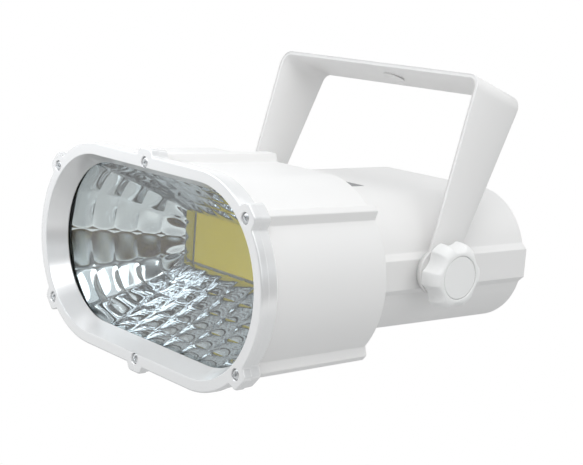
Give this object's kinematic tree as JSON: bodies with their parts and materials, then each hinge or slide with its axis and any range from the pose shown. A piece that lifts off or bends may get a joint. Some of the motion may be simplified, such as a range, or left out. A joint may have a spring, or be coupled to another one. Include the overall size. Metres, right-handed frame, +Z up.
{
  "type": "display spotlight",
  "caption": "Hanging display spotlight: wide round-ended head with a faceted reflector round a long yellow emitter, narrower rear body, leaning strip yoke and lobed side knobs.",
  "frame": {"origin": "centre of the hole in the yoke's crossbar, on the crossbar's outer face", "axes": "+X to the side whose knob the picture shows, +Y backwards from the light's front to the cable inlet, +Z up"},
  "size_m": [0.214, 0.2324, 0.1704],
  "materials": {
    "white_coat": "satin white powder coat",
    "white_plastic": "satin moulded",
    "steel": "zinc plated",
    "brass": "turned",
    "bright_sheet": "bright anodised, faceted",
    "aluminium": "plain extruded",
    "rubber": "matt",
    "black_plastic": "matt",
    "glass": "clear toughened",
    "phosphor": "smooth yellow",
    "pale_frame": "matt",
    "board": "matt white solder mask on aluminium",
    "grey_pad": "soft",
    "dark_inlay": "satin"
  },
  "bodies": {
    "yoke": {"yoke": "white_coat"},
    "head": {"bezel_frame": "white_coat", "bezel_screw_1": "steel", "bezel_screw_2": "steel", "bezel_screw_3": "steel", "bezel_screw_4": "steel", "bezel_screw_5": "steel", "bezel_screw_6": "steel", "head_housing": "white_coat", "front_glass": "glass", "glass_gasket": "rubber", "reflector": "bright_sheet", "led_frame": "pale_frame", "led_phosphor": "phosphor", "led_board": "board", "led_screw_1": "steel", "led_screw_2": "steel", "led_screw_3": "steel", "led_screw_4": "steel", "thermal_pad": "grey_pad", "heat_sink": "aluminium", "heat_sink_screw_1": "steel", "heat_sink_screw_2": "steel", "heat_sink_screw_3": "steel", "heat_sink_screw_4": "steel", "rear_body": "white_coat", "top_inlay": "dark_inlay", "body_gasket": "rubber", "body_screw_1": "steel", "body_screw_2": "steel", "body_screw_3": "steel", "body_screw_4": "steel", "rear_cap": "white_coat", "rear_cap_screw_1": "steel", "rear_cap_screw_2": "steel", "rear_cap_screw_3": "steel", "rear_cap_screw_4": "steel", "gland_body": "black_plastic", "gland_locknut": "black_plastic", "gland_nut": "black_plastic", "gland_seal": "rubber", "driver_case": "aluminium", "terminal_block": "board", "pivot_insert_right": "brass", "friction_washer_right": "rubber", "pivot_insert_left": "brass", "friction_washer_left": "rubber"},
    "right_clamp": {"clamp_washer_right": "steel"},
    "right_knob": {"knob_right": "white_plastic", "knob_cap_right": "white_plastic", "knob_stud_right": "steel"},
    "left_clamp": {"clamp_washer_left": "steel"},
    "left_knob": {"knob_left": "white_plastic", "knob_cap_left": "white_plastic", "knob_stud_left": "steel"}
  },
  "joints": [
    {"name": "head_tilt", "type": "hinge", "parent": "yoke", "child": "head", "pos_m": [0, -0.03711, -0.10164], "axis": [1, 0, 0], "range_deg": [-55, 190]},
    {"name": "right_knob_travel", "type": "slide", "parent": "head", "child": "right_clamp", "axis": [1, 0, 0], "range_m": [0, 0.00125]},
    {"name": "right_knob_turn", "type": "hinge", "parent": "right_clamp", "child": "right_knob", "pos_m": [0.088, -0.03711, -0.10164], "axis": [1, 0, 0], "range_deg": [0, 360]},
    {"name": "left_knob_travel", "type": "slide", "parent": "head", "child": "left_clamp", "axis": [-1, 0, 0], "range_m": [0, 0.00125]},
    {"name": "left_knob_turn", "type": "hinge", "parent": "left_clamp", "child": "left_knob", "pos_m": [-0.088, -0.03711, -0.10164], "axis": [-1, 0, 0], "range_deg": [0, 360]}
  ],
  "couplings": [
    {"joint": "right_knob_turn", "follows": "right_knob_travel", "rad_per_m": 5026.5},
    {"joint": "left_knob_turn", "follows": "left_knob_travel", "rad_per_m": 5026.5}
  ]
}
